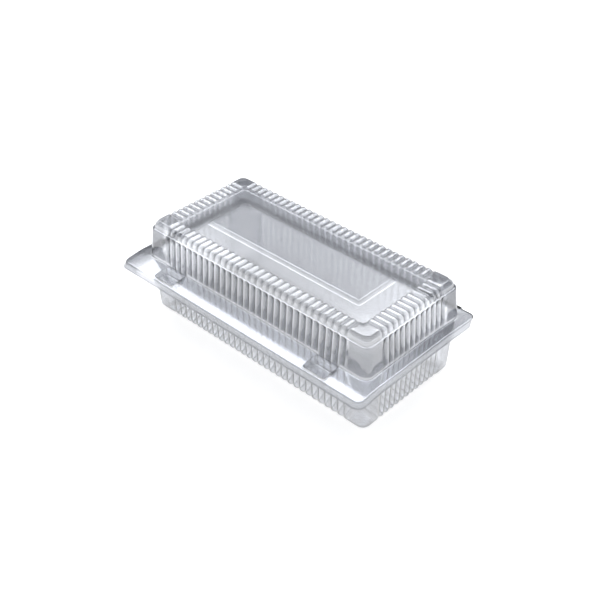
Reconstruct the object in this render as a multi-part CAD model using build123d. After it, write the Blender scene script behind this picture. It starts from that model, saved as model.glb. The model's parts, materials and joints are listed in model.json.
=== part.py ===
# Clear thermoformed clamshell pack with pleated walls: a deep tray and a shallow lid on a film hinge.
# Millimetres, +Z up, X along the pack, -Y the opening side, origin under the middle of the pack.
from math import atan2, cos, hypot
import os

from build123d import *

# Driving dimensions
sheet = 0.4                 # wall of the formed sheet
wall_length = 231.2         # lid at the foot of its walls
wall_width = 108.2
wall_corner = 6.5           # corner radius at the foot of the walls
ledge_front = 18.4          # flat flange beyond the walls
ledge_end = 9.4
ledge_back = 6.2
flange_corner = 5.0
lip_drop = 4.5              # turned-down edge of the flange
lip_flare = 2.2
lip_stop = 8.0              # the turned-down edge ends this far before the hinge
nest_gap = 0.4              # clearance between the two halves where they nest

lid_height = 32.7
lid_step_height = 26.0      # top of the lid's lower wall
lid_draft = 1.5
lid_step = 1.7              # small step between the lower wall and the shoulder
lid_shoulder_rise = 3.6     # steep part of the shoulder above the step
lid_shoulder_round = 2.6    # width of the rounded shoulder edge
tray_depth = 50.0
tray_draft = 1.5
tray_heel = 3.6             # rounded edge between the wall and the bottom
tray_foot = 1.8             # width of the flat that the pack rests on
tray_rise = 2.0             # rise of the pleated bottom towards the floor
tray_kerb = 2.3             # steep edge of the raised floor
tray_kerb_run = 1.1

ring_side = 17.7            # pleated ring on the long sides, from the wall's foot inwards
ring_end = 19.8             # the same on the short ends
side_pitch = 6.3            # pleats along the long sides
end_pitch = 5.9             # pleats along the short ends
pleat_depth = 1.25
pleat_root = 0.5            # plain bevel at the foot of a pleat
pad_margin = 1.0            # pleats stop this far before the ring's inner corner
corner_taper = 0.3          # loss of corner radius for each unit of inset beyond the wall

panel_drop = 2.6            # lid's flat panel below the crests of the pleats
panel_run = 0.9
plateau_length = 158.0      # raised rectangle in the lid's panel
plateau_width = 42.0
plateau_rise = 2.6
plateau_draft = 1.7
plateau_corner = 1.5

lock_place = 80.0           # middle of each lock pocket from the middle of the pack
lock_width = 20.5
lock_draft = 1.6
lock_depth = 5.0
lock_margin = 2.6           # flange left in front of a lock pocket

hinge_bead = 0.7            # radius of the folded film along the hinge
hinge_gap = 0.3
hinge_end_margin = 14.0     # the hinge stops this far before the pack's ends

# Derived sizes, in a frame with its origin in the flange's top face, amid the walls
bevel_foot = sheet * 2 ** 0.5                     # width of a 45 degree sheet, cut level
inner_corner = wall_corner - sheet
half_length = wall_length / 2
half_width = wall_width / 2
ring_half_length = half_length - ring_end
ring_half_width = half_width - ring_side
tray_inset = sheet + nest_gap                     # the tray's walls stand inside the lid's
tray_flange_top = -(sheet + nest_gap)
lip_angle = atan2(lip_flare, lip_drop)
lip_wall = sheet / cos(lip_angle)
lip_gap = nest_gap / cos(lip_angle)
lip_slope = lip_flare / lip_drop
hinge_y = half_width + ledge_back + hinge_bead + hinge_gap
hinge_z = tray_flange_top / 2 - sheet / 2
front_y = -(half_width + ledge_front + lip_flare)
middle_y = (front_y + hinge_y + hinge_bead) / 2
bottom_z = tray_flange_top - sheet - tray_depth


def moved_lines(points, moves):
    """Shift each stretch of a section inwards; the ends slide along their level and upright borders."""
    lines = []
    for (s0, h0), (s1, h1), move in zip(points, points[1:], moves):
        run = hypot(s1 - s0, h1 - h0)
        ds, dh = (s1 - s0) / run, (h1 - h0) / run
        lines.append((s0 + dh * move, h0 - ds * move, ds, dh))
    s, h, ds, dh = lines[0]
    moved = [(s + ds * (points[0][1] - h) / dh, points[0][1])]
    for (s0, h0, ds0, dh0), (s1, h1, ds1, dh1) in zip(lines, lines[1:]):
        along = ((s1 - s0) * dh1 - (h1 - h0) * ds1) / (ds0 * dh1 - dh0 * ds1)
        moved.append((s0 + ds0 * along, h0 + dh0 * along))
    s, h, ds, dh = lines[-1]
    moved.append((points[-1][0], h + dh * (points[-1][0] - s) / ds))
    return moved


def inside(points):
    return moved_lines(points, [sheet] * (len(points) - 1))


def valley(points):
    return moved_lines(points, [0] + [pleat_depth] * (len(points) - 3) + [0])


def lid_section(ring):
    """Outer face of the lid at a pleat's crest: inset from the wall's foot, height above the flange."""
    shoulder = pleat_root + lid_draft + lid_step
    return [
        (0, 0),
        (pleat_root, pleat_root),
        (pleat_root + lid_draft, lid_step_height),
        (shoulder, lid_step_height + pleat_root),
        (shoulder + pleat_root, lid_step_height + pleat_root + lid_shoulder_rise),
        (shoulder + pleat_root + lid_shoulder_round, lid_height),
        (ring - panel_run, lid_height),
        (ring, lid_height - panel_drop),
    ]


def tray_section(ring):
    """Outer face of the tray at a pleat's crest: inset from the wall's top, depth below the flange."""
    heel = pleat_root + tray_draft
    return [
        (0, 0),
        (pleat_root, pleat_root),
        (heel, tray_depth - tray_heel),
        (heel + tray_heel, tray_depth),
        (heel + tray_heel + tray_foot, tray_depth),
        (ring - tray_kerb_run, tray_depth - tray_rise),
        (ring, tray_depth - tray_rise - tray_kerb),
    ]


def level(length, width, corner, height):
    """Rectangle at a height, rounded where it has a corner radius."""
    outline = RectangleRounded(length, width, corner) if corner else Rectangle(length, width)
    return Pos(0, 0, height) * outline


def tower(levels):
    """Solid through a stack of levels, each a (length, width, corner, height)."""
    faces = [level(*size) for size in levels]
    solid = Part()
    for lower, upper in zip(faces, faces[1:]):
        solid += loft([lower, upper], ruled=True)
    return solid


def wall_levels(points, length, width, corner):
    """Levels of the plain corners: their radius shrinks only beyond the wall."""
    wall_end = points[2][0]
    levels = []
    for s, h in points:
        levels.append((length - 2 * s, width - 2 * s, corner - corner_taper * max(0, s - wall_end), h))
    return levels


def pleated_side(place, span, pitch, crest):
    """One side of a half: flat facets between crest and valley sections in turn, closed into a sheet."""
    count = round(span / pitch)
    folds = [outer + inside(outer)[::-1] for outer in (crest, valley(crest))]
    sections = []
    for station in range(2 * count + 1):
        plane = place(span * (station / (2 * count) - 0.5))
        sections.append([plane.from_local_coords(point) for point in folds[station % 2]])
    facets = [sections[0], sections[-1]]
    for near, far in zip(sections, sections[1:]):
        for i in range(len(near)):
            facets.append([near[i - 1], near[i], far[i], far[i - 1]])
    return Solid(Shell([Face(Wire.make_polygon(facet)) for facet in facets]))


def well_levels(side_points, end_points, length, width):
    """Levels of the hollow inside the ring, from its inner edge out to its crest."""
    levels = []
    for (side, height), (end, _) in zip(side_points[::-1], end_points[::-1]):
        levels.append((length - 2 * end, width - 2 * side, 0, height))
    return levels


def mirrored(part, *planes):
    """The part with its mirror images."""
    parts = [part]
    for plane in planes:
        parts += [mirror(each, about=plane) for each in parts]
    return parts


def formed_shell(section, wall_top, inset):
    """Pleated walls and ring of one half with its four plain corners, standing on the flange."""
    length, width = wall_length - 2 * inset, wall_width - 2 * inset
    side, end = section(ring_side - inset), section(ring_end - inset)
    pad_x, pad_y = ring_half_length - pad_margin, ring_half_width - pad_margin

    def on_side(along):
        return Plane((along, -width / 2, 0), x_dir=(0, 1, 0), z_dir=(1, 0, 0))

    def on_end(along):
        return Plane((length / 2, along, 0), x_dir=(-1, 0, 0), z_dir=(0, 1, 0))

    skins = []
    faces = ((side, end, wall_corner), (inside(side), inside(end), inner_corner))
    for side_line, end_line, corner in faces:
        body = tower(wall_levels(side_line[:wall_top], length, width, corner))
        skins.append(body - tower(well_levels(side_line[wall_top:], end_line[wall_top:], length, width)))
    reach = 2 * length
    well = extrude(level(2 * ring_half_length, 2 * ring_half_width, 0, 0), amount=reach)
    quarter = Box(reach, reach, reach, align=(Align.MIN, Align.MAX, Align.CENTER))
    pad = (skins[0] - skins[1] - well) & Pos(pad_x, -pad_y, 0) * quarter

    pieces = mirrored(pleated_side(on_side, 2 * pad_x, side_pitch, side), Plane.XZ)
    pieces += mirrored(pleated_side(on_end, 2 * pad_y, end_pitch, end), Plane.YZ)
    return pieces + mirrored(pad, Plane.XZ, Plane.YZ)


def rim(shift, height, back):
    """Flange outline at a height on the flared lip line, moved in from the lid's outer face."""
    out = -height * lip_slope - shift
    front = half_width + ledge_front + out
    outline = RectangleRounded(wall_length + 2 * (ledge_end + out), front + back, flange_corner - shift)
    return Pos(0, (back - front) / 2, height) * outline


def lock(grow, top, floor):
    """A lock pocket's drafted block, grown sideways and towards the walls."""
    faces = []
    for height in (top, floor):
        taper = lock_draft * height / lock_depth
        reach = ledge_front - lock_margin + taper + 2 * grow
        outline = Rectangle(lock_width + 2 * (grow + taper), reach, align=(Align.CENTER, Align.MAX))
        faces.append(Pos(0, grow - half_width, height) * outline)
    return loft(faces, ruled=True)


def flange(top, inset, nest, back):
    """Flange with its turned-down lip and two lock pockets; nest moves the lip and the pockets in."""
    edge = nest * (lip_wall + lip_gap)
    part = loft([rim(edge, top, back), rim(edge, -lip_drop, back)], ruled=True)
    under = [rim(edge + lip_wall, height, back + lip_stop) for height in (top - sheet, -lip_drop)]
    part -= loft(under, ruled=True)
    hinge_side = Box(2 * wall_length, 2 * lip_stop, lip_drop, align=(Align.CENTER, Align.CENTER, Align.MAX))
    part -= Pos(0, hinge_y, top - sheet) * hinge_side
    foot = inset + bevel_foot
    mouth = level(wall_length - 2 * foot, wall_width - 2 * foot, inner_corner, top)
    part -= extrude(mouth, amount=sheet, both=True)
    grow = nest * (sheet + nest_gap)
    for place in (-lock_place, lock_place):
        part += Pos(place, 0, 0) * lock(grow + sheet, top, -lock_depth - grow - sheet)
    for place in (-lock_place, lock_place):
        part -= Pos(place, 0, 0) * lock(grow, top, -lock_depth - grow)
    return part


def lid_panel():
    """Sunken panel of the lid with its raised plateau."""
    flat = lid_height - panel_drop
    top = flat + plateau_rise
    length, width = plateau_length, plateau_width
    top_length, top_width = length - 2 * plateau_draft, width - 2 * plateau_draft
    part = extrude(level(2 * ring_half_length, 2 * ring_half_width, 0, flat - sheet), amount=sheet)
    part += tower([(length, width, plateau_corner, flat), (top_length, top_width, plateau_corner, top)])
    part -= tower([(length - 2 * sheet, width - 2 * sheet, plateau_corner, flat - sheet),
                   (top_length - 2 * sheet, top_width - 2 * sheet, plateau_corner, top - sheet)])
    return part


def lid():
    pieces = formed_shell(lid_section, 6, 0)
    pieces += [lid_panel(), flange(0, 0, 0, half_width + ledge_back)]
    return pieces[0].fuse(*pieces[1:])


def base_tray():
    floor_level = tray_depth - tray_rise - tray_kerb
    pieces = formed_shell(tray_section, 4, tray_inset)
    floor = level(2 * ring_half_length, 2 * ring_half_width, 0, floor_level - sheet)
    pieces.append(extrude(floor, amount=sheet))
    under_flange = Pos(0, 0, tray_flange_top - sheet)
    pieces = [under_flange * mirror(piece, about=Plane.XY) for piece in pieces]
    bead_length = wall_length + 2 * ledge_end - 2 * hinge_end_margin
    bead = Pos(0, hinge_y, hinge_z) * Rot(0, 90, 0) * Cylinder(hinge_bead, bead_length)
    pieces += [flange(tray_flange_top, tray_inset, 1, hinge_y), bead]
    return pieces[0].fuse(*pieces[1:])


os.makedirs("parts", exist_ok=True)
standing = Pos(0, -middle_y, -bottom_z)
for name, part in (("base_tray", base_tray()), ("lid", lid())):
    export_step(standing * part, f"parts/{name}.step")
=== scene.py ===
import json
import math

import bmesh
import bpy
from mathutils import Matrix, Vector


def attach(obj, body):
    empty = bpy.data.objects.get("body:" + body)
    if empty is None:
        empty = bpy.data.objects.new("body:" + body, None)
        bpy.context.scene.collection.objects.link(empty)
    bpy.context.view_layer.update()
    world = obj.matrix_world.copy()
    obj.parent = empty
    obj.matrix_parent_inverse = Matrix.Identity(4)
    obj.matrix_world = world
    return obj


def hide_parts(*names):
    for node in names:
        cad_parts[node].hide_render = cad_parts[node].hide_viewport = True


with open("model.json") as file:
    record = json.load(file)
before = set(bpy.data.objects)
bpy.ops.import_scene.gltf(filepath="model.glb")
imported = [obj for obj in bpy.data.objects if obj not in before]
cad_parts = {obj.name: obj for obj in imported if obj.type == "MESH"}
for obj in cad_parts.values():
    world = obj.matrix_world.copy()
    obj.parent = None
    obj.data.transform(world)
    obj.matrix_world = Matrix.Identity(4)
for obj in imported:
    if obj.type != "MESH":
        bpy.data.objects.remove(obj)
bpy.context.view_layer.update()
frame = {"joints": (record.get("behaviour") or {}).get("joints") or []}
print("frame loaded")

mm = 0.001
hinge = Vector(frame["joints"][0]["pos_m"]) / mm     # axis of the film hinge

# Walls and ring that both halves share, in millimetres, about the middle of the walls and the lid's flange
pack = {
    "sheet": 0.4,
    "halfLength": 115.6,          # foot of the lid's walls
    "halfWidth": 54.1,
    "wallDraft": 2.0,             # inset of the walls at their far end
    "corner": 6.5,
    "cornerTaper": 0.3,           # the corners shrink by this share of the inset over the shoulder
    "leastCorner": 0.2,
    "ringHalfLength": 95.8,       # inner edge of the pleated ring
    "ringHalfWidth": 36.4,
    "padMargin": 1.0,             # the corner pads reach this far past the ring's inner edge
    "edgeStrip": 0.6,             # flat strips that keep the shading of the flat faces clean
    "footStrip": 1.7,
    "weld": 0.005,                # points nearer than this become one
    "hingeGap": 1.0,              # the hinge axis lies behind and below the lid's flange
    "hingeDrop": 0.6,
}


def smooth(value, low, high):
    t = min(max((value - low) / (high - low), 0.0), 1.0)
    return t * t * (3 - 2 * t)


def roundedPath(corners, pieces):
    # corners are (across, height, radius): radii become arcs, straight runs are divided into pieces
    arcStep = math.radians(15)
    path = [Vector(corners[0][:2])]

    def runTo(point, count):
        start = path[-1].copy()
        for i in range(1, count + 1):
            path.append(start.lerp(point, i / count))

    for before, corner, after, count in zip(corners, corners[1:], corners[2:], pieces):
        here, radius = Vector(corner[:2]), corner[2]
        if radius == 0:
            runTo(here, count)
            continue
        back = (Vector(before[:2]) - here).normalized()
        ahead = (Vector(after[:2]) - here).normalized()
        half = back.angle(ahead) / 2
        turn = math.pi - 2 * half
        centre = here + (back + ahead).normalized() * radius / math.sin(half)
        start = here + back * radius / math.tan(half)
        sign = 1 if back.x * ahead.y - back.y * ahead.x < 0 else -1
        runTo(start, count)
        steps = max(2, math.ceil(turn / arcStep))
        for i in range(1, steps + 1):
            angle = sign * turn * i / steps
            arm = start - centre
            path.append(centre + Vector((arm.x * math.cos(angle) - arm.y * math.sin(angle),
                                         arm.x * math.sin(angle) + arm.y * math.cos(angle))))
    runTo(Vector(corners[-1][:2]), pieces[-1])
    return path


def sectionLine(form, ring):
    # crest line from the flange's flat strip over wall, shoulder and ring to the flat inside the ring
    endRun, endHeight, endRadius = form["ringEnd"]
    corners = [(-pack["footStrip"], 0.0, 0.0)] + form["section"]
    corners += [(ring - endRun, endHeight, endRadius), (ring, form["ringFoot"], endRadius),
                (ring + pack["edgeStrip"], form["ringFoot"], 0.0)]
    return roundedPath(corners, form["pieces"])


def hex2linear(code):
    values = []
    for i in (0, 2, 4):
        c = int(code[i:i + 2], 16) / 255
        values.append(c / 12.92 if c <= 0.04045 else ((c + 0.055) / 1.055) ** 2.4)
    return (*values, 1.0)


def addNode(tree, kind, settings=None, links=None, place=(0, 0)):
    # settings: "in:NAME" fills a socket, "stops" a colour ramp, any other name is the node's own
    node = tree.nodes.new(kind)
    node.location = place
    for name, value in (settings or {}).items():
        if name.startswith("in:"):
            node.inputs[name[3:]].default_value = value
        elif name == "stops":
            elements = node.color_ramp.elements
            while len(elements) < len(value):
                elements.new(0.5)
            for element, (position, code) in zip(elements, value):
                element.position = position
                element.color = hex2linear(code)
        else:
            setattr(node, name, value)
    for name, socket in (links or {}).items():
        tree.links.new(socket, node.inputs[name])
    return node


pleats = {
    "sideCount": 30,
    "endCount": 12,
    "depth": 1.4,
    "columns": 10,                # mesh columns across one pleat
    "round": 0.12,                # 0 gives sharp ridges on the walls and sharp valleys in the ring
    "ridgeWidth": 0.7,            # below 1 the ridges are thin and the valleys wide
    "growFrom": (0.4, 1.6),       # heights between which a pleat grows out of the plain foot
    "stepLoss": 0.7,              # share of the depth that is lost at the step, and how far that reaches
    "stepReach": 0.9,
    "crestShade": 0.15,            # painted shade of the crests, between flange 0 and valley 1
    "wallFade": 0.8,              # the painted shade spreads wider in the walls' valleys than between the ribs
    "ribFade": 0.3,
    "weld": 0.002,
}


def pleatRowTree():
    # lays copies of one pleat side by side and joins them into a row
    tree = bpy.data.node_groups.new("pleatRow", "GeometryNodeTree")
    for name, kind in (("Pleat", "Geometry"), ("Count", "Int"), ("Pitch", "Float"), ("Sheet", "Material")):
        tree.interface.new_socket(name, in_out="INPUT", socket_type="NodeSocket" + kind)
    tree.interface.new_socket("Row", in_out="OUTPUT", socket_type="NodeSocketGeometry")
    given = addNode(tree, "NodeGroupInput", place=(-600, 0))
    step = addNode(tree, "ShaderNodeCombineXYZ", links={"X": given.outputs["Pitch"]}, place=(-400, -160))
    line = addNode(tree, "GeometryNodeMeshLine", {"mode": "OFFSET"},
                   {"Count": given.outputs["Count"], "Offset": step.outputs[0]}, (-220, -120))
    copies = addNode(tree, "GeometryNodeInstanceOnPoints", {},
                     {"Points": line.outputs[0], "Instance": given.outputs["Pleat"]}, (-40, 0))
    real = addNode(tree, "GeometryNodeRealizeInstances", {}, {"Geometry": copies.outputs[0]}, (140, 0))
    merged = addNode(tree, "GeometryNodeMergeByDistance", {"in:Distance": pleats["weld"] * mm},
                     {"Geometry": real.outputs[0]}, (320, 0))
    dressed = addNode(tree, "GeometryNodeSetMaterial", {},
                      {"Geometry": merged.outputs[0], "Material": given.outputs["Sheet"]}, (500, 0))
    addNode(tree, "NodeGroupOutput", links={"Row": dressed.outputs[0]}, place=(680, 0))
    return tree


def pleatShift(form, point):
    # how far, and which way, a valley lies inside the crest at this point of the section
    inset, height = point
    depth = pleats["depth"] * smooth(height, *pleats["growFrom"])
    if form["step"]:
        depth *= 1 - pleats["stepLoss"] * math.exp(-((height - form["step"]) / pleats["stepReach"]) ** 2)
    if inset > form["turnEnd"]:
        ringHeight = form["ringEnd"][1] - form["ringFoot"]
        depth *= min(max((height - form["ringFoot"]) / ringHeight, 0.0), 1.0)
    angle = math.pi / 2 * smooth(inset, form["turnStart"], form["turnEnd"])
    return Vector((math.cos(angle), -math.sin(angle))) * depth


def roundedWave(value):
    low, high = pleats["round"], math.hypot(1.0, pleats["round"])
    return (math.hypot(value, low) - low) / (high - low)


def pleatRow(name, form, ring, span, count, tree, material):
    # one pleat from crest to crest as a mesh, then the row of them by the tree
    pitch = span / count
    line = sectionLine(form, ring)
    shifts = [pleatShift(form, point) for point in line]
    columns = pleats["columns"]
    verts, faces, shadeLevel = [], [], []
    for column in range(columns + 1):
        along = pitch * column / columns
        angle = math.pi * column / columns
        ridge = roundedWave(math.sin(angle)) ** pleats["ridgeWidth"]
        rib = 1 - roundedWave(math.cos(angle))          # round ribs, thin valleys
        for point, shift in zip(line, shifts):
            turned = smooth(point.y, *form["ribsFrom"])
            wave = ridge + (rib - ridge) * turned
            inset, height = point + shift * wave
            verts.append(Vector((along, inset, height)) * mm)
            # painted shade in the base colour: darker in the valleys than on the crests
            fade = pleats["wallFade"] + pleats["ribFade"] * turned
            valleyShadeHere = form["valleyShade"] * smooth(point.y, *form["shadeFrom"])
            shadeLevel.append(pleats["crestShade"] + valleyShadeHere * wave ** fade * shift.length / pleats["depth"])
    rows = len(line)
    for column in range(columns):
        for row in range(rows - 1):
            a = column * rows + row
            faces.append((a, a + rows, a + rows + 1, a + 1))
    mesh = bpy.data.meshes.new(name)
    mesh.from_pydata(verts, [], faces)
    mesh.attributes.new("draw", "FLOAT", "POINT").data.foreach_set("value", shadeLevel)
    pleat = bpy.data.objects.new(name, mesh)
    bpy.context.scene.collection.objects.link(pleat)
    modifier = pleat.modifiers.new("pleatRow", "NODES")
    modifier.node_group = tree
    sockets = {item.name: item.identifier for item in tree.interface.items_tree if item.in_out == "INPUT"}
    modifier[sockets["Count"]] = count
    modifier[sockets["Pitch"]] = pitch * mm
    modifier[sockets["Sheet"]] = material
    depsgraph = bpy.context.evaluated_depsgraph_get()
    row = bpy.data.meshes.new_from_object(pleat.evaluated_get(depsgraph))
    pleat.modifiers.remove(modifier)
    bpy.data.objects.remove(pleat)
    return row


def cornerRadius(form, inset, ring):
    # constant up the wall, shrinking over the shoulder, nearly sharp at the ring's inner edge
    wallEnd, turnEnd = pack["wallDraft"], form["turnEnd"]
    if inset <= wallEnd:
        return pack["corner"] - min(inset, 0.0)
    if inset <= turnEnd:
        return pack["corner"] - pack["cornerTaper"] * (inset - wallEnd)
    shoulder = pack["corner"] - pack["cornerTaper"] * (turnEnd - wallEnd)
    share = (inset - turnEnd) / (ring - turnEnd)
    return max(shoulder + (pack["edgeStrip"] - shoulder) * share, pack["leastCorner"])


def cornerPad(bm, form, signX, signY):
    # plain corner between two rows of pleats, swept from the section of one to that of the other
    runSteps, arcSteps = 4, 12
    halfLength, halfWidth = pack["halfLength"] - form["inset"], pack["halfWidth"] - form["inset"]
    sideRing, endRing = halfWidth - pack["ringHalfWidth"], halfLength - pack["ringHalfLength"]
    padX = pack["ringHalfLength"] - pack["padMargin"]
    padY = pack["ringHalfWidth"] - pack["padMargin"]
    grid = []
    for side, end in zip(sectionLine(form, sideRing), sectionLine(form, endRing)):
        edgeX, edgeY = halfLength - end.x, halfWidth - side.x
        radius = min(cornerRadius(form, side.x, sideRing), abs(edgeX - padX), abs(edgeY - padY))
        path = []
        for i in range(runSteps):
            path.append(Vector((padX, edgeY)).lerp(Vector((edgeX - radius, edgeY)), i / runSteps))
        for i in range(arcSteps + 1):
            angle = math.pi / 2 * (1 - i / arcSteps)
            path.append(Vector((edgeX - radius + radius * math.cos(angle),
                                edgeY - radius + radius * math.sin(angle))))
        for i in range(1, runSteps + 1):
            path.append(Vector((edgeX, edgeY - radius)).lerp(Vector((edgeX, padY)), i / runSteps))
        row = []
        for i, p in enumerate(path):
            height = side.y + (end.y - side.y) * i / (len(path) - 1)
            row.append(bm.verts.new(Vector((signX * p.x, -signY * p.y, height)) * mm))
        grid.append(row)
    for low, high in zip(grid, grid[1:]):
        for i in range(len(low) - 1):
            quad = [low[i], low[i + 1], high[i + 1], high[i]]
            bm.faces.new(quad if signX * signY > 0 else quad[::-1])


def pleatedWalls(bm, name, form, tree, material):
    # four rows of pleats and the four plain corners between them
    halfLength, halfWidth = pack["halfLength"] - form["inset"], pack["halfWidth"] - form["inset"]
    sideSpan = 2 * (pack["ringHalfLength"] - pack["padMargin"])
    endSpan = 2 * (pack["ringHalfWidth"] - pack["padMargin"])
    sideRow = pleatRow(name + "SidePleat", form, halfWidth - pack["ringHalfWidth"], sideSpan,
                       pleats["sideCount"], tree, material)
    endRow = pleatRow(name + "EndPleat", form, halfLength - pack["ringHalfLength"], endSpan,
                      pleats["endCount"], tree, material)
    for row, span, reach, turn in ((sideRow, sideSpan, halfWidth, 0), (endRow, endSpan, halfLength, 90),
                                   (sideRow, sideSpan, halfWidth, 180), (endRow, endSpan, halfLength, 270)):
        placed = row.copy()
        placed.transform(Matrix.Rotation(math.radians(turn), 4, "Z") @
                         Matrix.Translation(Vector((-span / 2, -reach, 0)) * mm))
        bm.from_mesh(placed)
        bpy.data.meshes.remove(placed)
    for row in (sideRow, endRow):
        bpy.data.meshes.remove(row)
    for signX in (1, -1):
        for signY in (1, -1):
            cornerPad(bm, form, signX, signY)
    bmesh.ops.remove_doubles(bm, verts=bm.verts, dist=pack["weld"] * mm)


def loopFaces(bm, loops):
    # quads between closed loops with as many points each
    for low, high in zip(loops, loops[1:]):
        for i in range(len(low)):
            bm.faces.new((low[i - 1], low[i], high[i], high[i - 1]))


def outline(left, right, front, back, radius, sideSteps):
    # rounded rectangle, counter-clockwise from the front edge's right end
    arcSteps = 8
    points = []
    middles = [(right - radius, front + radius, -90), (right - radius, back - radius, 0),
               (left + radius, back - radius, 90), (left + radius, front + radius, 180)]
    for i, (x, y, first) in enumerate(middles):
        arc = []
        for k in range(arcSteps + 1):
            angle = math.radians(first + 90 * k / arcSteps)
            arc.append(Vector((x + radius * math.cos(angle), y + radius * math.sin(angle))))
        points += arc
        nextX, nextY, nextFirst = middles[(i + 1) % 4]
        angle = math.radians(nextFirst)
        goal = Vector((nextX + radius * math.cos(angle), nextY + radius * math.sin(angle)))
        for k in range(1, sideSteps):
            points.append(arc[-1].lerp(goal, k / sideSteps))
    return points


# Painted shade in the sheet's base colour: 0 in the clear flange, 1 in the deepest valleys
shadeTable = {
    "plain": 0.34,                # painted shade on plain walls and panels
    "plainFrom": (0.0, 2.5),      # all ranges are in millimetres
    "cornerFrom": (0.0, 4.0),     # painted shade in the walls' corners grows above the foot
    "cornerTo": (-6.0, -2.0),     # and clearer again below the level of the ring's foot
    "pad": 0.28,                  # painted shade on the corner pads, above that level
    "padFrom": (0.5, 2.0),
    # painted shade on the turned-down lip
    "lip": 0.35,
    "lipFrom": (0.5, 2.0),
    "end": 0.55,                  # painted shade on the flange's ends; it is clearest along its front
    "endAlong": (-45.0, 10.0),
    "endOut": (106.0, 114.0),
    "tip": 0.72,                  # and the painted shade is greatest at its left tip
    "tipOut": (98.0, 112.0),
    "flangeTo": (0.0, 2.5),
    "backAlong": (30.0, 48.0),
    "backFrom": (1.0, 4.0),
}


def paintedShadeAt(form, shadeLevel, x, y, height):
    # pleats and lip bring their own painted shade, the plain faces get theirs here, and painted shade is
    # added on the flange's ends, its left tip and the hinge side
    level = height - form["ringFoot"]
    if shadeLevel == 0:
        corner = smooth(height, *shadeTable["cornerFrom"]) * (1 - smooth(level, *shadeTable["cornerTo"]))
        shadeLevel = shadeTable["plain"] * smooth(height, *shadeTable["plainFrom"]) + form["cornerShade"] * corner
        shadeLevel += shadeTable["pad"] * smooth(level, *shadeTable["padFrom"])
    # painted shade on the flange's ends and more at its left tip, fading out up the wall
    ends = shadeTable["end"] * smooth(y, *shadeTable["endAlong"]) * smooth(abs(x), *shadeTable["endOut"])
    ends = max(ends, shadeTable["tip"] * smooth(-x, *shadeTable["tipOut"]))
    shadeLevel = max(shadeLevel, ends * (1 - smooth(height, *shadeTable["flangeTo"])))
    return shadeLevel + form["backShade"] * smooth(y, *shadeTable["backAlong"]) * smooth(height, *shadeTable["backFrom"])


flange = {
    "end": 125.0,
    "front": 72.5,
    "back": 60.3,
    "corner": 5.0,
    "sideSteps": 24,
    "slope": 7.5,                 # degrees that the front flange falls away from the wall
    "endSlope": 1.0,
    "slopeFade": (20.0, 50.0),    # the fall fades out between these places, towards the hinge
    "footLift": 1.2,
    "liftFade": (0.5, 5.0),       # the lift of the foot fades out between these heights
    "bendRun": 0.9,               # room for the bend, as a share of its radius, and a strip before it
    "bendStrip": 0.15,
    "trimBend": 0.35,
    "lipStop": 6.0,               # the turned-down lip fades out this far before the hinge
    "lipFade": 5.0,
    "lipLoss": 0.94,
}


def flangeLoops(bm, form, draw):
    # flat edge strip, bend and lip all round; the lip fades out towards the hinge
    bendOut = form["lip"][0][0]
    reach = flange["bendRun"] * form["lipBend"] + flange["bendStrip"]
    corners = [(bendOut - reach, 0.0, 0.0), (bendOut, 0.0, form["lipBend"])]
    corners += [(out, height, flange["trimBend"]) for out, height in form["lip"][1:]]
    profile = roundedPath(corners, (1, 2, 1)[:len(corners) - 1])
    fadeEnd = flange["back"] + pack["hingeGap"] - flange["lipStop"]
    fadeStart = fadeEnd - flange["lipFade"]

    def edge(out):
        return outline(-flange["end"] - out, flange["end"] + out, -flange["front"] - out,
                       flange["back"] + out, flange["corner"] + out, flange["sideSteps"])

    base = edge(bendOut)
    loops = []
    for out, height in profile:
        flat = out <= bendOut and height == 0
        loop = []
        for start, moved in zip(base, edge(out)):
            keep = 1.0 if flat else 1 - flange["lipLoss"] * smooth(start.y, fadeStart, fadeEnd)
            place = start.lerp(moved, keep)
            vert = bm.verts.new(Vector((place.x, place.y, height * keep)) * mm)
            # painted shade on the turned-down lip
            vert[draw] = shadeTable["lip"] * smooth(abs(height), *shadeTable["lipFrom"])
            loop.append(vert)
        loops.append(loop)
    loopFaces(bm, loops[::-1])
    return loops[0]


def slopeFlange(bm, up):
    # the front flange falls away from the foot of the wall, the rest lies nearly flat
    frontSlope = math.tan(math.radians(flange["slope"]))
    endSlope = math.tan(math.radians(flange["endSlope"]))
    for vert in bm.verts:
        x, y, height = abs(vert.co.x) / mm, vert.co.y / mm, vert.co.z / mm
        fall = frontSlope * max(-y - pack["halfWidth"], 0.0) + endSlope * max(x - pack["halfLength"], 0.0)
        rise = flange["footLift"] * (1 - smooth(height, *flange["liftFade"])) - fall
        vert.co.z += up * rise * (1 - smooth(y, *flange["slopeFade"])) * mm


locks = {
    "place": 80.0,
    "halfWidth": 10.25,
    "front": 69.4,
    "back": 56.6,
    "draft": 1.5,
    "corner": 1.6,
    "cornerTaper": 0.6,
    "leastCorner": 0.4,
    "sideSteps": 3,
    "rimStrip": 0.5,
    "rimBend": 0.35,
    "floorBend": 0.6,
    "floorStrip": 1.4,
    "openSide": 1.6,              # draft of the sides where the lid's pockets run back to its wall
    "openFrom": (50.0, 52.0),     # that run starts behind the wall and ends over the pocket's floor
    "openTo": (59.0, 61.0),
    "wallFoot": 3.1,              # the wall follows the pocket down below this height
}


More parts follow.
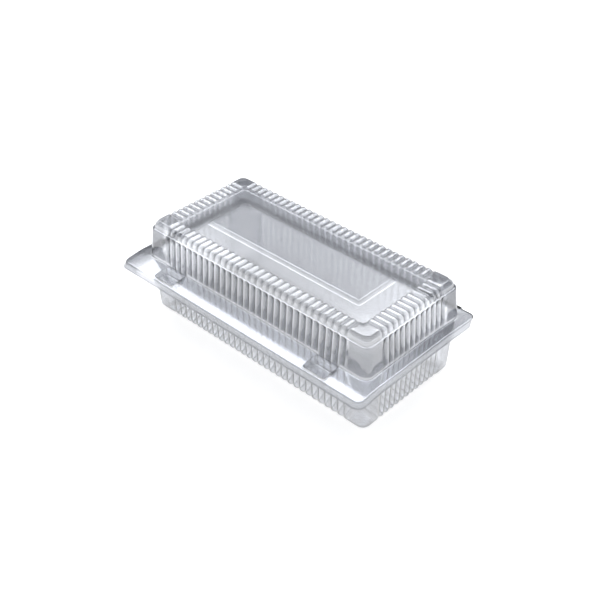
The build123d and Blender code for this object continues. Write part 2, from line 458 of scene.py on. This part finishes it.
def lockLoops(bm, form, place):
    # drafted pocket in the flange; returns the loop in the flange's plane
    grow, depth, draft = form["lockGrow"], form["lockDepth"], locks["draft"]
    profile = roundedPath([(-locks["rimStrip"], 0.0, 0.0), (0.0, 0.0, locks["rimBend"]),
                           (draft, depth, locks["floorBend"]), (draft + locks["floorStrip"], depth, 0.0)],
                          (1, 1, 1))
    loops = []
    for inset, height in profile:
        half = locks["halfWidth"] + grow - inset
        front = -locks["front"] - grow + inset
        back = -locks["back"] - inset
        radius = max(locks["corner"] - locks["cornerTaper"] * inset, locks["leastCorner"])
        points = outline(place - half, place + half, front, back, radius, locks["sideSteps"])
        loops.append([bm.verts.new(Vector((p.x, p.y, height)) * mm) for p in points])
    loopFaces(bm, loops)
    bm.faces.new(loops[-1])
    return loops[0]


def openLocks(bm, form):
    # the lid's pockets run back to its wall, which goes on down to their floor
    half = locks["halfWidth"]
    for vert in bm.verts:
        x, y, height = abs(vert.co.x) / mm, -vert.co.y / mm, vert.co.z / mm
        within = 1 - smooth(abs(x - locks["place"]), half - locks["openSide"], half)
        near = smooth(y, *locks["openFrom"]) * (1 - smooth(y, *locks["openTo"]))
        depth = form["lockDepth"] * within * near
        if height > 0:
            vert.co.z += depth * (1 - smooth(height, 0.0, locks["wallFoot"])) * mm
        else:
            vert.co.z = min(height, depth) * mm


plateau = {
    "halfLength": 79.0,
    "halfWidth": 21.0,
    "rise": 2.6,
    "draft": 1.7,
    "bend": 1.5,
    "strip": 0.9,
    "corner": 1.8,
    "cornerTaper": 0.3,
    "leastCorner": 0.5,
    "sideSteps": 6,
}


def plateauLoops(bm, low):
    # raised rectangle in the lid's panel; returns its outer loop in the panel's plane
    high, draft, strip, bend = low + plateau["rise"], plateau["draft"], plateau["strip"], plateau["bend"]
    profile = roundedPath([(-strip, low, 0.0), (0.0, low, bend), (draft, high, bend),
                           (draft + strip, high, 0.0)], (1, 1, 1))
    loops = []
    for inset, height in profile:
        x, y = plateau["halfLength"] - inset, plateau["halfWidth"] - inset
        radius = max(plateau["corner"] - plateau["cornerTaper"] * inset, plateau["leastCorner"])
        points = outline(-x, x, -y, y, radius, plateau["sideSteps"])
        loops.append([bm.verts.new(Vector((p.x, p.y, height)) * mm) for p in points])
    loopFaces(bm, loops)
    bm.faces.new(loops[-1])
    return loops[0]


def fillFlat(bm, loops):
    # flat face between an outer loop and the loops inside it
    edges = []
    for loop in loops:
        for i in range(len(loop)):
            edges.append(bm.edges.get((loop[i - 1], loop[i])))
    filled = bmesh.ops.triangle_fill(bm, use_beauty=True, use_dissolve=False, edges=edges)
    for face in filled["geom"]:
        if isinstance(face, bmesh.types.BMFace):
            face.normal_update()
            if face.normal.z < 0:
                face.normal_flip()


def openLoops(bm):
    # closed chains of border edges, each as its vertices in order
    border = dict.fromkeys(e for e in bm.edges if e.is_boundary)     # keeps its order, as a set doesn't
    chains = []
    while border:
        edge, _ = border.popitem()
        chain = [edge.verts[0], edge.verts[1]]
        while chain[-1] is not chain[0]:
            step = next(e for e in chain[-1].link_edges if e in border)
            border.pop(step)
            chain.append(step.other_vert(chain[-1]))
        chains.append(chain[:-1])
    return chains


wallMiddle = hinge.y - (flange["back"] + pack["hingeGap"])
flangeTop = hinge.z + pack["hingeDrop"]


def formedSheet(name, form, tree, material, edgeMaterial, raisedPanel=False):
    # the whole half as one skin, then the sheet's thickness on its inside
    bm = bmesh.new()
    pleatedWalls(bm, name, form, tree, material)
    chains = sorted(openLoops(bm), key=lambda chain: max(v.co.x for v in chain))
    inner, foot = chains[0], chains[-1]
    draw = bm.verts.layers.float["draw"]
    rim = flangeLoops(bm, form, draw)
    pockets = [lockLoops(bm, form, place) for place in (-locks["place"], locks["place"])]
    fillFlat(bm, [rim, foot] + pockets)
    fillFlat(bm, [inner] + ([plateauLoops(bm, form["ringFoot"])] if raisedPanel else []))
    print(name, "skin", len(bm.verts), "points,", len(chains), "borders")

    # painted shade on the plain faces, corners, pads, flange ends, left tip and hinge side
    for vert in bm.verts:
        vert[draw] = paintedShadeAt(form, vert[draw], *(c / mm for c in vert.co))
    if form["lockDepth"] < 0:
        openLocks(bm, form)
    up = form["wallUp"]
    slopeFlange(bm, up)
    place = Matrix.Translation(Vector((0, wallMiddle, flangeTop + form["flangeHeight"])) * mm)
    bm.transform(place @ Matrix.Diagonal((1, 1, up, 1)))
    if up < 0:
        bmesh.ops.reverse_faces(bm, faces=bm.faces)
    for face in bm.faces:
        face.smooth = True
    for edge in bm.edges:
        edge.smooth = not edge.is_boundary           # the trim stays sharp
    mesh = bpy.data.meshes.new(name)
    bm.to_mesh(mesh)
    bm.free()
    piece = bpy.data.objects.new(name, mesh)
    bpy.context.scene.collection.objects.link(piece)
    piece.data.materials.clear()                     # also puts the pleats' faces back on the first slot
    piece.data.materials.append(material)
    piece.data.materials.append(edgeMaterial)
    wall = piece.modifiers.new("sheet", "SOLIDIFY")
    wall.material_offset_rim = 1                     # edgeMaterial along the trim
    wall.thickness = pack["sheet"] * mm
    wall.offset = -1
    return piece


film = {
    "bead": 0.7,                  # radius of the fold
    "length": 222.0,
    "lapBack": 1.9,               # its edge lies on the tray's flange, before and below the axis
    "lapDrop": 0.65,
    "turn": 300.0,                # degrees
    "steps": 12,
}


def filmHinge(piece):
    # fold of the film behind both flanges, part of the tray's sheet
    bm = bmesh.new()
    bm.from_mesh(piece.data)
    rings = []
    for end in (-1, 1):
        x = end * film["length"] / 2
        ring = [bm.verts.new(Vector((x, hinge.y - film["lapBack"], hinge.z - film["lapDrop"])) * mm)]
        for k in range(film["steps"] + 1):
            angle = math.radians(-film["turn"] / 2 + film["turn"] * k / film["steps"])
            ring.append(bm.verts.new(Vector((x, hinge.y + film["bead"] * math.cos(angle),
                                             hinge.z + film["bead"] * math.sin(angle))) * mm))
        rings.append(ring)
    for k in range(film["steps"] + 1):
        face = bm.faces.new((rings[0][k], rings[0][k + 1], rings[1][k + 1], rings[1][k]))
        face.smooth = True
        face.normal_update()
        middle = face.calc_center_median() - hinge * mm
        if face.normal.y * middle.y + face.normal.z * middle.z < 0:      # outwards from the axis
            face.normal_flip()
    bm.to_mesh(piece.data)
    bm.free()


def clearPet():
    # clear PET sheet, vacuum formed: painted shade in its base colour, clearest in the flange and darker in
    # the walls, valleys, corners, lip and flange ends; greyer where the view slants through it; glossy
    # skin, with faint waves and a trace of haze
    look = {
        "bySlant": ((0.0, "ffffff"), (0.42, "f4f4f5"), (0.6, "c9cacd"), (0.8, "8e9094"), (1.0, "55575b")),
        "byShade": ((0.0, "f9fafc"), (0.4, "e9eaec"), (1.0, "9ea0a5")),
        "waveSize": 18.0,         # millimetres
        "waveHeight": 0.15,
        "waveStrength": 0.06,
        "hazeSize": 30.0,
        "roughness": (0.09, 0.15),
        "coatRoughness": 0.09,
    }
    material = bpy.data.materials.new("clearPetSheet")
    material.use_nodes = True
    tree = material.node_tree
    tree.nodes.clear()
    where = addNode(tree, "ShaderNodeTexCoord", place=(-900, 0))
    waves = addNode(tree, "ShaderNodeTexNoise", {"in:Scale": 1 / (look["waveSize"] * mm), "in:Detail": 2.0},
                    {"Vector": where.outputs["Object"]}, (-700, -200))
    haze = addNode(tree, "ShaderNodeTexNoise", {"in:Scale": 1 / (look["hazeSize"] * mm), "in:Detail": 3.0},
                   {"Vector": where.outputs["Object"]}, (-700, 100))
    glossy, dull = look["roughness"]
    rough = addNode(tree, "ShaderNodeMapRange", {"in:To Min": glossy, "in:To Max": dull},
                    {"Value": haze.outputs["Fac"]}, (-480, 100))
    bump = addNode(tree, "ShaderNodeBump",
                   {"in:Strength": look["waveStrength"], "in:Distance": look["waveHeight"] * mm},
                   {"Height": waves.outputs["Fac"]}, (-480, -200))
    slant = addNode(tree, "ShaderNodeLayerWeight", {"in:Blend": 0.5}, place=(-700, 350))
    edgeGrey = addNode(tree, "ShaderNodeValToRGB", {"stops": look["bySlant"]},
                       {"Fac": slant.outputs["Facing"]}, (-480, 400))
    # painted shade from the sheet's attribute, turned into grey by the ramp
    draw = addNode(tree, "ShaderNodeAttribute", {"attribute_name": "draw"}, place=(-700, 650))
    shadeGrey = addNode(tree, "ShaderNodeValToRGB", {"stops": look["byShade"]},
                       {"Fac": draw.outputs["Fac"]}, (-480, 700))
    grey = addNode(tree, "ShaderNodeMix", {"data_type": "RGBA", "blend_type": "MULTIPLY", "in:Factor": 1.0},
                   {6: edgeGrey.outputs["Color"], 7: shadeGrey.outputs["Color"]}, (-200, 500))
    shader = addNode(tree, "ShaderNodeBsdfPrincipled",
                     {"in:IOR": 1.57, "in:Transmission Weight": 1.0, "in:Coat Weight": 1.0,
                      "in:Coat Roughness": look["coatRoughness"], "in:Coat IOR": 1.5},
                     {"Base Color": grey.outputs[2], "Roughness": rough.outputs[0],
                      "Normal": bump.outputs[0]}, (-150, 0))
    addNode(tree, "ShaderNodeOutputMaterial", links={"Surface": shader.outputs[0]}, place=(150, 0))
    return material


def trimmedPetEdge():
    # die-cut edge of the same sheet: frosted by the knife, so it catches the light as a thin pale line
    look = {
        "frost": ((0.3, "dfe2e5"), (0.7, "f6f8fa")),
        "nickSize": 3.0,          # millimetres
        "roughness": (0.35, 0.6),
        "clear": 0.3,
    }
    material = bpy.data.materials.new("trimmedPetEdge")
    material.use_nodes = True
    tree = material.node_tree
    tree.nodes.clear()
    where = addNode(tree, "ShaderNodeTexCoord", place=(-900, 0))
    nicks = addNode(tree, "ShaderNodeTexNoise", {"in:Scale": 1 / (look["nickSize"] * mm), "in:Detail": 2.0},
                    {"Vector": where.outputs["Object"]}, (-700, 0))
    frost = addNode(tree, "ShaderNodeValToRGB", {"stops": look["frost"]},
                    {"Fac": nicks.outputs["Fac"]}, (-480, 100))
    glossy, dull = look["roughness"]
    rough = addNode(tree, "ShaderNodeMapRange", {"in:To Min": glossy, "in:To Max": dull},
                    {"Value": nicks.outputs["Fac"]}, (-480, -150))
    shader = addNode(tree, "ShaderNodeBsdfPrincipled",
                     {"in:IOR": 1.57, "in:Transmission Weight": look["clear"]},
                     {"Base Color": frost.outputs["Color"], "Roughness": rough.outputs[0]}, (-150, 0))
    addNode(tree, "ShaderNodeOutputMaterial", links={"Surface": shader.outputs[0]}, place=(150, 0))
    return material


sheetMaterial = clearPet()
edgeMaterial = trimmedPetEdge()
rowTree = pleatRowTree()
print("materials and pleat tree ready")

# The lid, from its flange up: corners of the section at a crest as (inset, height, radius)
lidForm = {
    "inset": 0.0,
    "flangeHeight": 0.0,
    "wallUp": 1,
    "section": [(0.0, 0.0, 1.6), (0.24, 3.1, 0.0), (2.0, 26.0, 0.8), (3.7, 26.5, 0.5), (4.2, 30.1, 1.2),
                (6.8, 32.7, 1.6)],
    "pieces": [1, 3, 4, 1, 1, 1, 3, 1, 1],           # mesh rows in each straight run of the section
    "step": 26.2,                 # the pleats are shallow where the wall ends in a step
    "ribsFrom": (25.0, 27.0),     # thin ridges on the wall become round ribs between these heights
    "turnStart": 3.8,             # the pleats turn from level to upright between these insets
    "turnEnd": 7.4,
    "ringEnd": (0.9, 32.7, 0.6),  # inner end of the ring, before its edge
    "ringFoot": 30.1,             # level of the flat inside the ring
    "lip": [(0.0, 0.0), (1.4, -4.0), (2.2, -4.4)],   # bend, foot of the lip, turned-out trim
    "lipBend": 1.7,
    "lockDepth": -5.0,
    "lockGrow": 0.0,
    "valleyShade": 0.78,           # painted shade in the valleys
    "shadeFrom": (-2.0, 0.0),     # the valleys' painted shade grows between these heights
    "cornerShade": 0.5,            # painted shade in the plain corners of the walls
    "backShade": 0.24,             # and painted shade on the hinge side
}
lid = formedSheet("clear_lid", lidForm, rowTree, sheetMaterial, edgeMaterial, raisedPanel=True)

# The tray, from its flange down
trayForm = {
    "inset": 0.8,
    "flangeHeight": -1.2,
    "wallUp": -1,
    "section": [(0.0, 0.0, 0.9), (0.14, 3.1, 0.0), (2.0, 46.4, 2.6), (5.6, 50.0, 2.6), (7.4, 50.0, 1.5)],
    "pieces": [1, 3, 7, 1, 1, 2, 1, 1],
    "step": 0.0,                  # none
    "ribsFrom": (44.0, 47.0),
    "turnStart": 1.8,
    "turnEnd": 6.4,
    "ringEnd": (1.1, 48.0, 0.7),
    "ringFoot": 45.7,
    "lip": [(-0.75, 0.0), (0.86, 3.3)],
    "lipBend": 0.9,
    "lockDepth": 5.0,
    "lockGrow": 1.2,              # so that the lid's pockets sit in these
    # painted shade in the valleys and the plain corners; none on the hinge side
    "valleyShade": 0.36,
    "shadeFrom": (6.0, 34.0),
    "cornerShade": 0.16,
    "backShade": 0.0,
}
tray = formedSheet("clear_tray", trayForm, rowTree, sheetMaterial, edgeMaterial)
filmHinge(tray)
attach(lid, "lid")
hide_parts("lid")
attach(tray, "tray")
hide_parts("base_tray")
print("halves formed")


def studio():
    # white floor, pale horizon under a darker ceiling, and one large soft light above the pack's far side
    light = {
        "aim": (0.0, 0.0, 0.05),          # metres, as are the sizes of the studio
        "toBox": (-0.33, 0.363, 0.874),   # direction from the pack to the softbox
        "alongBox": (0.727, 0.687, 0.0),  # its long side lies across the view
        "distance": 1.0,
        "boxSize": (1.6, 0.68),
        "watts": 11.0,
        "boxColour": "f8faff",
        "floor": "e6e6e6",
        "floorSize": 60.0,
        "floorDrop": 0.00005,             # keeps the floor clear of the tray's foot
        "floorLift": 0.8,                 # glow that keeps the floor white to the eye
        "sky": ((0.0, "ffffff"), (0.16, "eceef1"), (0.42, "919396"), (1.0, "828487")),   # by height of view
    }
    scene = bpy.context.scene
    scene.view_settings.view_transform = "Standard"
    world = bpy.data.worlds.new("studio")
    scene.world = world
    world.use_nodes = True
    tree = world.node_tree
    tree.nodes.clear()
    where = addNode(tree, "ShaderNodeTexCoord", place=(-800, 0))
    parts = addNode(tree, "ShaderNodeSeparateXYZ", {}, {"Vector": where.outputs["Generated"]}, (-600, 0))
    ramp = addNode(tree, "ShaderNodeValToRGB", {"stops": light["sky"]},
                   {"Fac": parts.outputs["Z"]}, (-400, 0))
    back = addNode(tree, "ShaderNodeBackground", links={"Color": ramp.outputs["Color"]}, place=(-100, 0))
    addNode(tree, "ShaderNodeOutputWorld", links={"Surface": back.outputs[0]}, place=(100, 0))

    bpy.ops.mesh.primitive_plane_add(size=light["floorSize"], location=(0, 0, -light["floorDrop"]))
    floor = bpy.context.object
    floor.name = "floor"
    paper = bpy.data.materials.new("whitePaper")     # matt backdrop paper
    paper.use_nodes = True
    tree = paper.node_tree
    tree.nodes.clear()
    path = addNode(tree, "ShaderNodeLightPath", place=(-600, 200))
    shown = addNode(tree, "ShaderNodeMath", {"operation": "MAXIMUM"},
                    {0: path.outputs["Is Camera Ray"], 1: path.outputs["Is Glossy Ray"]}, (-400, 200))
    seen = addNode(tree, "ShaderNodeMath", {"operation": "MAXIMUM"},
                   {0: shown.outputs[0], 1: path.outputs["Is Transmission Ray"]}, (-200, 200))
    lift = addNode(tree, "ShaderNodeMath", {"operation": "MULTIPLY"}, {0: seen.outputs[0]}, (0, 200))
    lift.inputs[1].default_value = light["floorLift"]
    matt = addNode(tree, "ShaderNodeBsdfDiffuse", {"in:Color": hex2linear(light["floor"])}, place=(0, -100))
    glow = addNode(tree, "ShaderNodeEmission", {"in:Color": hex2linear("ffffff")},
                   {"Strength": lift.outputs[0]}, (200, 200))
    both = addNode(tree, "ShaderNodeAddShader", {}, {0: matt.outputs[0], 1: glow.outputs[0]}, (400, 0))
    addNode(tree, "ShaderNodeOutputMaterial", links={"Surface": both.outputs[0]}, place=(600, 0))
    floor.data.materials.append(paper)

    lamp = bpy.data.lights.new("softbox", "AREA")
    lamp.shape = "RECTANGLE"
    lamp.size, lamp.size_y = light["boxSize"]
    lamp.energy = light["watts"]
    lamp.color = hex2linear(light["boxColour"])[:3]
    box = bpy.data.objects.new("softbox", lamp)
    toBox, along = Vector(light["toBox"]).normalized(), Vector(light["alongBox"]).normalized()
    across = toBox.cross(along).normalized()
    box.location = Vector(light["aim"]) + toBox * light["distance"]
    box.rotation_euler = Matrix((along, across, toBox)).transposed().to_euler()
    scene.collection.objects.link(box)


def photoCamera():
    # the photograph's view, fitted to the flange, walls and ring
    view = {
        "azimuth": 43.366,
        "elevation": 36.434,
        "distance": 800.0,
        "target": (6.1, 1.9, 40.4),
        "lens": 61.76,
        "sensor": 36.0,
    }
    az, el = math.radians(view["azimuth"]), math.radians(view["elevation"])
    away = Vector((math.cos(el) * math.sin(az), -math.cos(el) * math.cos(az), math.sin(el)))
    data = bpy.data.cameras.new("camera")
    data.lens = view["lens"]
    data.sensor_width = view["sensor"]
    camera = bpy.data.objects.new("camera", data)
    camera.location = (Vector(view["target"]) + away * view["distance"]) * mm
    camera.rotation_euler = away.to_track_quat("Z", "Y").to_euler()
    bpy.context.scene.collection.objects.link(camera)
    bpy.context.scene.camera = camera


studio()
photoCamera()
print("studio ready")
